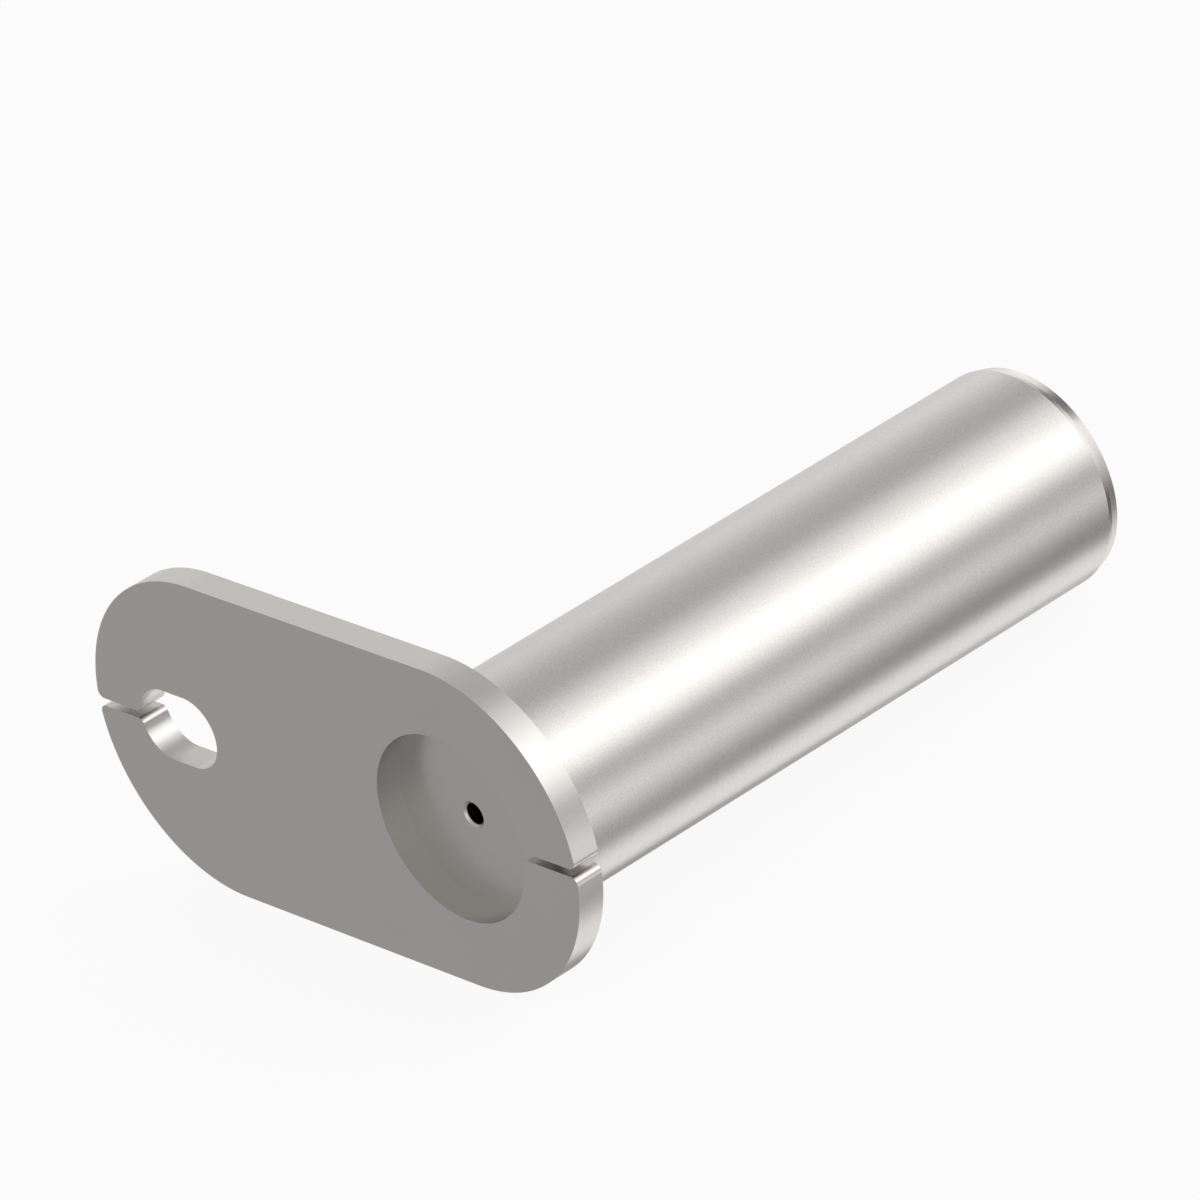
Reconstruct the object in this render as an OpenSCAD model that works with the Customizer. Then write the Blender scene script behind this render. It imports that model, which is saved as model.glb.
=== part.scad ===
// Bucket link pin: a turned shaft welded to a slotted flag plate.
// The pin turns in the link's bushes, the flag lies against the link's boss, and one bolt
// through the flag's slot keeps the pin from turning and from coming out.
// Origin on the shaft's axis, in the flag's back face. +Y runs along the shaft to its free
// end, +Z is up and the flag's bolt slot lies towards -X.

/* [Shaft] */
// Diameter of the shaft
shaft_d = 45; // [40:0.5:80]
// Length of the shaft from the flag's back face to its free end
shaft_len = 146.7; // [110:0.1:260]
// Length of the lead-in taper on the free end
lead_len = 3; // [1:0.1:8]
// Angle between the lead-in taper and the shaft's side
lead_angle = 15; // [10:1:45]

/* [Grease passage] */
// Core diameter of the tapped port for the grease nipple
port_d = 4.2; // [4.2:0.1:6.8]
// Depth of the tapped port
port_depth = 10; // [6:0.5:20]
// Width of the 45 degree chamfer at the port's mouth
port_chamfer = 0.55; // [0.2:0.05:1.5]
// Diameter of the drilled gallery behind the port
gallery_d = 3.5; // [2:0.1:4.1]
// Diameter of the outlet that brings the grease to the shaft's side
outlet_d = 5; // [4.5:0.1:8]
// Distance of the outlet from the flag's back face
outlet_at = 73; // [30:0.5:100]
// Width of the 45 degree chamfer at the outlet's mouth
outlet_chamfer = 0.8; // [0.2:0.1:2]

/* [Flag plate] */
// Thickness of the plate
plate_t = 6; // [4:0.5:12]
// How far the plate stands out round the shaft
plate_rim = 10.2; // [6:0.1:20]
// Width of the plate's seat on the edge of the shaft's end, round the access hole
seat_w = 3.65; // [2:0.05:6]
// Depth of the light spot face in the plate's back, which squares and centres the shaft's end
spot_depth = 0.15; // [0.1:0.05:1]
// Clearance round the shaft in the spot face
spot_gap = 0.05; // [0.02:0.01:0.2]

/* [Bolt slot] */
// Width of the slot
slot_w = 14.7; // [9:0.1:18]
// Distance between the centres of the slot's round ends
slot_travel = 6; // [1:0.5:10]
// Distance from the shaft's axis to the middle of the slot
slot_from_axis = 73.4; // [60:0.1:110]
// Metal left between the slot and the plate's tip
tip_wall = 11.85; // [6:0.05:20]

/* [Relief slits] */
// Width of the two slits on the plate's centre line
slit_w = 1.6; // [0.6:0.1:3]
// Radius of the rounded corners where a slit opens out
slit_corner_r = 1.5; // [0.5:0.1:2.5]

/* [Hidden] */
$fn = 96;

shaft_r = shaft_d / 2;
lead_drop = lead_len * tan(lead_angle);
port_r = port_d / 2;
gallery_r = gallery_d / 2;
outlet_r = outlet_d / 2;
drill_tip = 59;
access_r = shaft_r - seat_w;
slot_r = slot_w / 2;
slot_end = slot_from_axis + slot_travel / 2;
slit_h = slit_w / 2;
// The plate's outline has a round end of radius end_r about the shaft's axis, and an equal
// one about a centre end_span away.
end_r = shaft_r + plate_rim;
end_span = slot_end + slot_r + tip_wall - end_r;
over = 1;
// How far a rounding stands over the edges it joins, so that it crosses them cleanly.
blend = 0.003;

// Turns what is drawn along +Z so that it runs along +Y. The quarter turn about its own axis
// keeps the seams of the turned faces clear of the outlet.
module along_shaft() {
    rotate([-90, 0, 0]) rotate(90) children();
}

// The cutter of a drilled hole of radius r and full depth h, with the cone of the drill's
// tip at its end and a 45 degree chamfer c wide at its mouth.
module drilled(r, h, c) {
    rotate_extrude() polygon([
        [0, -over],
        [r + c + over, -over],
        [r, c],
        [r, h],
        [0, h + r / tan(drill_tip)],
    ]);
}

// Turned bar with the lead-in taper on its free end. Its other end stands in the plate's
// spot face and is the floor of the access hole. The grease nipple screws into that end, and
// the gallery leads from there just past the outlet, which faces the flag's side.
module pin_shaft() {
    color([0.74, 0.73, 0.72]) difference() {
        along_shaft() rotate_extrude() polygon([
            [0, -spot_depth],
            [shaft_r, -spot_depth],
            [shaft_r, shaft_len - lead_len],
            [shaft_r - lead_drop, shaft_len],
            [0, shaft_len],
        ]);
        along_shaft() translate([0, 0, -spot_depth]) drilled(port_r, port_depth, port_chamfer);
        along_shaft() drilled(gallery_r, outlet_at + outlet_r, 0);
        translate([-shaft_r, outlet_at, 0]) rotate([0, 90, 0])
            drilled(outlet_r, shaft_r, outlet_chamfer);
    }
}

// One end of the plate's outline: the disc that rounds it off.
module end_disc(x) {
    translate([x, 0]) circle(r = end_r);
}

// Centre of the rounding between a slit's edge and an arc of radius r about the origin.
// With side = -1 the metal is inside the arc, with side = 1 it is outside.
function corner_centre(r, side) =
    let (reach = r + side * slit_corner_r, rise = slit_h + slit_corner_r)
    [sqrt(reach * reach - rise * rise), rise];

// The sharp corner that a rounding takes away, out to the middle of the slit.
module corner_cut(r, side) {
    c = corner_centre(r, side);
    polygon([[c[0], slit_h], c, c * r / norm(c), side < 0 ? [r + slit_corner_r, 0] : [0, 0]]);
}

// The rounding itself.
module corner_nose(r, side) {
    translate(corner_centre(r, side)) circle(r = slit_corner_r + blend);
}

// A slit along +X that starts in the opening of radius r_in about x_in and runs out of the
// plate's round end about x_out, with its sharp corners taken off at both.
module slit(x_in, r_in, x_out) {
    translate([x_in, -slit_h]) square([x_out + end_r + over - x_in, slit_w]);
    for (flip = [0, 1]) mirror([0, flip]) {
        translate([x_in, 0]) corner_cut(r_in, 1);
        translate([x_out, 0]) corner_cut(end_r, -1);
    }
}

// The four rounded corners of the same slit.
module slit_noses(x_in, r_in, x_out) {
    for (flip = [0, 1]) mirror([0, flip]) {
        translate([x_in, 0]) corner_nose(r_in, 1);
        translate([x_out, 0]) corner_nose(end_r, -1);
    }
}

// Outline of the plate, drawn with the plate's up as +Y.
module plate_outline() {
    difference() {
        union() {
            end_disc(0);
            end_disc(-end_span);
            translate([-end_span, -end_r]) square([end_span, 2 * end_r]);
        }
        circle(r = access_r);
        translate([-slot_end, 0]) circle(r = slot_r);
        translate([-slot_end + slot_travel, 0]) circle(r = slot_r);
        translate([-slot_end, -slot_r]) square([slot_travel, slot_w]);
        slit(0, access_r, 0);
        mirror([1, 0]) slit(slot_end, slot_r, end_span);
    }
    slit_noses(0, access_r, 0);
    mirror([1, 0]) slit_noses(slot_end, slot_r, end_span);
}

// Flag cut from plate. Its back face, in the plane y = 0, is the seat that stops the pin
// against the link's boss. The spot face in it takes the shaft's end, to which the ring of
// plate round the access hole is welded.
module flag_plate() {
    color([0.60, 0.59, 0.58]) rotate([90, 0, 0]) difference() {
        linear_extrude(plate_t) plate_outline();
        translate([0, 0, -over]) cylinder(r = shaft_r + spot_gap, h = over + spot_depth);
    }
}

pin_shaft();
flag_plate();
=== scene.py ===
"""Looks of the bucket link pin: one satin steel, ground on the shaft and cut on the flag plate,
on a plain pale floor under soft studio light."""

import math

import bpy
from mathutils import Matrix, Vector


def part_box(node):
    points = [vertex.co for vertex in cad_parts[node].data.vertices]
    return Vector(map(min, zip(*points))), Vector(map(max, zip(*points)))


MM = 0.001

# Viewpoint: the photograph's, solved from the object's outlines, with the pixel of the frame's origin
PHOTO_SIDE = 1200
VIEW_AZIMUTH = math.radians(50.357)
VIEW_ELEVATION = math.radians(27.286)
VIEW_ROLL = math.radians(-10.197)
SENSOR_WIDTH = 36.0
LENS = 293.94
DISTANCE = 1.75499
ORIGIN_PIXEL = (474.1, 814.4)

# The grease port: its wall and its end, and where the shade painted inside it and its thread have
# faded out past each
PORT_RADIUS = 2.1 * MM
PORT_DEPTH = 10 * MM
PAINTED_SHADE_AND_THREAD_RADIUS = 1.1 * PORT_RADIUS
PAINTED_SHADE_AND_THREAD_DEPTH = 1.02 * PORT_DEPTH

# The thread in the port, and how steeply its flanks rise along the axis
THREAD_PITCH = 0.8 * MM
THREAD_SLOPE = 0.5

# The lead-in on the shaft's free end. Its first step is this much shallower than its one cone,
# and the rest of it this much steeper, as slopes
LEAD_LENGTH = 3 * MM
LEAD_STEP = 1.05 * MM
STEP_SHALLOWER = 0.105
REST_STEEPER = 0.02

# Steel: the darkest and the lightest shade of each surface
GROUND_SHADES = (0.515, 0.498, 0.482), (0.725, 0.702, 0.682)
CUT_SHADES = (0.600, 0.581, 0.564), (0.640, 0.619, 0.600)
FACE_SHADES = (0.602, 0.583, 0.566), (0.618, 0.598, 0.580)
# The port's inside is painted near black: painted shade standing in for its unlit bore
PORT_PAINTED_SHADE = (0.008, 0.008, 0.008)

# The shaft's shade: halfway on its faced end, and from grain and marks where y is past the edge
MIDDLE_SHADE = 0.5
GRAIN_SHARE = 0.85
GROUND_EDGE = 0.5 * MM

# The plate's faces: how far along the axis the surface has to face, from edge to face
FACE_RANGE = (0.6, 0.9)

SHAFT_ROUGHNESS = 0.24
PLATE_ROUGHNESS = 0.245
ROUGHNESS_SPREAD = 0.02
GRAIN_RELIEF = 0.0004 * MM
LINE_RELIEF = 0.0008 * MM

# Marks and lines are drawn out, so that only this much of the way along them counts
MARK_SQUEEZE = 0.06
LINE_SQUEEZE = 0.05

# Softboxes, and dark cards with a negative strength: strength, angle round the shaft's axis,
# part of the direction along the axis, and how far from its middle it begins to fade and ends.
# The angles are in degrees
LAMPS = (
    (1.0, 54, 0.8, 5, 37.5),
    (0.8, 39.5, 0.35, 1, 30),
    (0.72, -26, 0.2, 1, 35),
    (0.64, -16, -0.98, 6, 41.5),
    (-0.87, -49.5, 0.73, 6, 26.5),
    (-1.0, -120.5, 0.4, 1, 19.5),
    (-1.23, 95.5, 0.87, 10, 15),
)

# One wide lamp without an edge: strength, angle, part along the axis, and how fast it falls off
WIDE_LAMP = (0.86, 159.5, 0.8, 14.5)

# Surroundings between the lamps: their level, what they lose below, and what they gain there
# towards the shaft's free end, each with the part of the direction where it starts and ends
SURROUNDINGS = 0.59
LOSS_BELOW = 0.24
GAIN_AHEAD = 0.82
BELOW_RANGE = (-0.18, 0.9)
AHEAD_RANGE = (-0.71, 0.69)

# The whole studio: a factor on its level, and the lowest level that dark cards bring it to
STUDIO_LEVEL = 0.97
DARKEST = 0.02

# The floor: half its side, its colour, and the share of plain white that the camera sees in it
FLOOR_HALF = 20.0
PAPER = (0.95, 0.95, 0.95, 1)
WHITE_SHARE = 0.9

# Sockets of the Mix node that a colour uses
MIX_FACTOR, MIX_DARK, MIX_LIGHT, MIX_RESULT = 0, 6, 7, 2


class Field:
    """One output of a node. Arithmetic on it adds Math nodes."""

    def __init__(self, tree, socket):
        self.tree = tree
        self.socket = socket

    def math(self, operation, *others):
        return self.tree.math(operation, self, *others)

    def __add__(self, other):
        return self.math("ADD", other)

    __radd__ = __add__

    def __sub__(self, other):
        return self.math("SUBTRACT", other)

    def __rsub__(self, other):
        return self.tree.math("SUBTRACT", other, self)

    def __mul__(self, other):
        return self.math("MULTIPLY", other)

    __rmul__ = __mul__

    def __truediv__(self, other):
        return self.math("DIVIDE", other)

    def __pow__(self, other):
        return self.math("POWER", other)

    def above(self, low, high):
        """0 below low, 1 above high, and smooth between them."""
        inputs = {"Value": self, "From Min": low, "From Max": high}
        return self.tree.add("ShaderNodeMapRange", {"interpolation_type": "SMOOTHSTEP"}, inputs)


class Tree:
    """The node tree of a material or the world, and the one way that nodes come into it."""

    def __init__(self, owner):
        owner.use_nodes = True
        self.nodes = owner.node_tree.nodes
        self.links = owner.node_tree.links
        self.nodes.clear()

    def node(self, kind, settings=None, inputs=None):
        """Adds a node, makes its settings, and fills its inputs with values or links."""
        node = self.nodes.new(kind)
        for name, value in (settings or {}).items():
            setattr(node, name, value)
        for name, value in (inputs or {}).items():
            if isinstance(value, Field):
                self.links.new(value.socket, node.inputs[name])
            else:
                node.inputs[name].default_value = value
        return node

    def add(self, kind, settings=None, inputs=None, output=0):
        """Adds a node and returns one of its outputs."""
        return Field(self, self.node(kind, settings, inputs).outputs[output])

    def math(self, operation, *values):
        return self.add("ShaderNodeMath", {"operation": operation}, dict(enumerate(values)))

    def dot(self, vector, direction):
        inputs = {0: vector, 1: direction}
        return self.add("ShaderNodeVectorMath", {"operation": "DOT_PRODUCT"}, inputs, "Value")

    def place(self):
        """The point's place in the frame, in metres."""
        return self.add("ShaderNodeTexCoord", output="Object")

    def facing(self):
        """The direction that the surface faces, in the frame."""
        return self.add("ShaderNodeTexCoord", output="Normal")

    def join(self, x, y, z):
        return self.add("ShaderNodeCombineXYZ", inputs={"X": x, "Y": y, "Z": z})

    def split(self, vector):
        sockets = self.node("ShaderNodeSeparateXYZ", inputs={0: vector}).outputs
        return [Field(self, sockets[axis]) for axis in "XYZ"]

    def noise(self, vector, size, detail):
        """Noise from 0 to 1 whose features are about size metres wide."""
        inputs = {"Vector": vector, "Scale": 1 / size, "Detail": detail}
        return self.add("ShaderNodeTexNoise", {"noise_dimensions": "3D"}, inputs)

    def shades(self, factor, dark, light):
        """The colour between two, each of which is three numbers or another output."""
        inputs = {MIX_FACTOR: factor}
        for socket, colour in ((MIX_DARK, dark), (MIX_LIGHT, light)):
            inputs[socket] = colour if isinstance(colour, Field) else (*colour, 1)
        return self.add("ShaderNodeMix", {"data_type": "RGBA"}, inputs, MIX_RESULT)


def metal(tree, colour, roughness, height):
    """Bare metal with a relief whose height is in metres."""
    bump = tree.add("ShaderNodeBump", inputs={"Height": height, "Distance": 1.0, "Strength": 1.0})
    inputs = {"Base Color": colour, "Metallic": 1.0, "Roughness": roughness, "Normal": bump}
    shader = tree.add("ShaderNodeBsdfPrincipled", inputs=inputs)
    tree.node("ShaderNodeOutputMaterial", inputs={"Surface": shader})


def lead_start():
    """How far along the axis the shaft's lead-in starts."""
    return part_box("pin_shaft")[1].y - LEAD_LENGTH


def ground_shaft_steel():
    """Ground bar: satin, with fine grain and faint marks round it, and painted shade inside its port.
    """
    material = bpy.data.materials.new("ground_shaft_steel")
    tree = Tree(material)
    place = tree.place()
    x, y, z = tree.split(place)
    radius = (x * x + z * z).math("SQRT")
    # Marks run round the axis: short along the side or the radius, and long round it
    drawn_out = tree.join(x * MARK_SQUEEZE, y + radius, z * MARK_SQUEEZE)
    marks = tree.noise(drawn_out, size=0.5 * MM, detail=1)
    grain = tree.noise(place, size=0.3 * MM, detail=1)
    patch = tree.noise(place, size=14 * MM, detail=3)
    # The side is ground and has the grain. The end in the plate's access hole is faced smooth
    ground = y.above(0.0, GROUND_EDGE)
    speckle = GRAIN_SHARE * grain + (1 - GRAIN_SHARE) * marks
    bright = tree.shades(MIDDLE_SHADE + ground * (speckle - MIDDLE_SHADE), *GROUND_SHADES)
    # Painted shade: the port's inside is coloured near black as its unlit bore, and the same mask
    # carries its thread's relief
    thread_and_painted_shade = (1 - radius.above(PORT_RADIUS, PAINTED_SHADE_AND_THREAD_RADIUS)) * (1 - y.above(PORT_DEPTH, PAINTED_SHADE_AND_THREAD_DEPTH))
    colour = tree.shades(thread_and_painted_shade, bright, PORT_PAINTED_SHADE)
    roughness = SHAFT_ROUGHNESS + ROUGHNESS_SPREAD * (grain + patch)
    turn = z.math("ARCTAN2", x) / (2 * math.pi)
    crest = (y + turn * THREAD_PITCH).math("PINGPONG", THREAD_PITCH / 2)
    # The lead-in's two slopes, as relief on its one cone
    along = (y - lead_start()).math("MAXIMUM", 0.0)
    first = STEP_SHALLOWER * along
    rest = STEP_SHALLOWER * LEAD_STEP - REST_STEEPER * (along - LEAD_STEP)
    height = grain * GRAIN_RELIEF + THREAD_SLOPE * thread_and_painted_shade * crest + first.math("MINIMUM", rest)
    metal(tree, colour, roughness, height)
    return material


def flag_plate_steel():
    """Cut plate: satin faces, and slightly smoother edges with the cut's lines in them."""
    material = bpy.data.materials.new("flag_plate_steel")
    tree = Tree(material)
    place = tree.place()
    x, y, z = tree.split(place)
    face = tree.split(tree.facing())[1].math("ABSOLUTE").above(*FACE_RANGE)
    grain = tree.noise(place, size=0.4 * MM, detail=2)
    # The cut's fine lines run straight through the plate's thickness
    lines = tree.noise(tree.join(x, y * LINE_SQUEEZE, z), size=0.35 * MM, detail=2)
    patch = tree.noise(place, size=18 * MM, detail=3)
    cut = tree.shades(lines, *CUT_SHADES)
    flat = tree.shades(patch, *FACE_SHADES)
    colour = tree.shades(face, cut, flat)
    roughness = PLATE_ROUGHNESS + ROUGHNESS_SPREAD * (lines + patch + face)
    height = grain * GRAIN_RELIEF + lines * (1 - face) * LINE_RELIEF
    metal(tree, colour, roughness, height)
    return material


def photo_camera():
    """The camera at the photograph's viewpoint, with its roll and its framing."""
    back = Vector((
        math.sin(VIEW_AZIMUTH) * math.cos(VIEW_ELEVATION),
        -math.cos(VIEW_AZIMUTH) * math.cos(VIEW_ELEVATION),
        math.sin(VIEW_ELEVATION),
    ))
    level = Vector((math.cos(VIEW_AZIMUTH), math.sin(VIEW_AZIMUTH), 0))
    tilt = Matrix.Rotation(VIEW_ROLL, 3, back)
    right = tilt @ level
    up = tilt @ back.cross(level)
    focal_pixels = LENS / SENSOR_WIDTH * PHOTO_SIDE
    across = (ORIGIN_PIXEL[0] - PHOTO_SIDE / 2) / focal_pixels * DISTANCE
    upwards = (PHOTO_SIDE / 2 - ORIGIN_PIXEL[1]) / focal_pixels * DISTANCE
    camera = bpy.data.objects.new("photo_camera", bpy.data.cameras.new("photo_camera"))
    camera.data.sensor_width = SENSOR_WIDTH
    camera.data.lens = LENS
    axes = Matrix((right, up, back)).transposed().to_4x4()
    place = DISTANCE * back - across * right - upwards * up
    camera.matrix_world = Matrix.Translation(place) @ axes
    bpy.context.collection.objects.link(camera)
    bpy.context.scene.camera = camera


def towards(turn, along):
    """The direction at an angle round the shaft's axis, whose part along the axis is given."""
    across = math.sqrt(1 - along * along)
    angle = math.radians(turn)
    return Vector((across * math.cos(angle), along, across * math.sin(angle)))


def studio_light():
    """Soft surroundings with softboxes and dark cards. The camera sees them as plain white."""
    world = bpy.data.worlds.new("studio")
    bpy.context.scene.world = world
    tree = Tree(world)
    direction = tree.add("ShaderNodeTexCoord", output="Generated")
    ahead, up = tree.split(direction)[1:]
    below = (0 - up).above(*BELOW_RANGE)
    level = SURROUNDINGS + below * (GAIN_AHEAD * ahead.above(*AHEAD_RANGE) - LOSS_BELOW)
    for strength, turn, along, inner, outer in LAMPS:
        edges = math.cos(math.radians(outer)), math.cos(math.radians(inner))
        level = level + strength * tree.dot(direction, towards(turn, along)).above(*edges)
    strength, turn, along, falloff = WIDE_LAMP
    wide = tree.dot(direction, towards(turn, along)).math("MAXIMUM", 0.0) ** falloff
    level = (STUDIO_LEVEL * (level + strength * wide)).math("MAXIMUM", DARKEST)
    camera_ray = tree.add("ShaderNodeLightPath", output="Is Camera Ray")
    level = level * (1 - camera_ray) + camera_ray
    background = tree.add("ShaderNodeBackground", inputs={"Color": level, "Strength": 1.0})
    tree.node("ShaderNodeOutputWorld", inputs={"Surface": background})


def pale_paper():
    """White paper that takes a faint shadow and is clear from below."""
    material = bpy.data.materials.new("pale_paper")
    tree = Tree(material)
    camera_ray = tree.add("ShaderNodeLightPath", output="Is Camera Ray")
    paper = tree.add("ShaderNodeBsdfDiffuse", inputs={"Color": PAPER})
    white = tree.add("ShaderNodeEmission", inputs={"Color": (1, 1, 1, 1), "Strength": 1.0})
    mixed = tree.add("ShaderNodeMixShader", inputs={0: WHITE_SHARE * camera_ray, 1: paper, 2: white})
    below = tree.add("ShaderNodeNewGeometry", output="Backfacing")
    clear = tree.add("ShaderNodeBsdfTransparent")
    shown = tree.add("ShaderNodeMixShader", inputs={0: below, 1: mixed, 2: clear})
    tree.node("ShaderNodeOutputMaterial", inputs={"Surface": shown})
    return material


def pale_floor():
    """A plain floor that touches the flag's lower edge and the shaft where its lead-in starts."""
    plate_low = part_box("flag_plate")[0].z
    shaft_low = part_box("pin_shaft")[0].z
    slope = math.atan2(shaft_low - plate_low, lead_start())
    tilted = Matrix.Translation((0, 0, plate_low)) @ Matrix.Rotation(slope, 4, "X")
    corners = [(-1, -1), (1, -1), (1, 1), (-1, 1)]
    points = [tilted @ Vector((x * FLOOR_HALF, y * FLOOR_HALF, 0)) for x, y in corners]
    mesh = bpy.data.meshes.new("floor")
    mesh.from_pydata(points, [], [(0, 1, 2, 3)])
    mesh.materials.append(pale_paper())
    floor = bpy.data.objects.new("floor", mesh)
    bpy.context.collection.objects.link(floor)
    # The metal shows the studio's cards, which go on below the floor, in place of the floor
    floor.visible_glossy = False
    floor.visible_shadow = False


def finish_nodes(nodes):
    """Gives each CAD node its finish."""
    finishes = {
        "pin_shaft": ground_shaft_steel(),
        "flag_plate": flag_plate_steel(),
    }
    for name, material in finishes.items():
        for slot in nodes[name].material_slots:
            slot.material = material


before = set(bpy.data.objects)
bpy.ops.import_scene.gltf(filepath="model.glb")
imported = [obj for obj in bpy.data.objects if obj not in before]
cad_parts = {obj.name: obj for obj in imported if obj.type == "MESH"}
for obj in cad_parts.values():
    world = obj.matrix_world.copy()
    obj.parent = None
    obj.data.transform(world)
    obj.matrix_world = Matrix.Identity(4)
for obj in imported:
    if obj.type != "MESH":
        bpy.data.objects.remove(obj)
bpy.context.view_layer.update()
bpy.context.scene.view_settings.view_transform = "Standard"
photo_camera()
studio_light()
pale_floor()
finish_nodes(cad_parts)
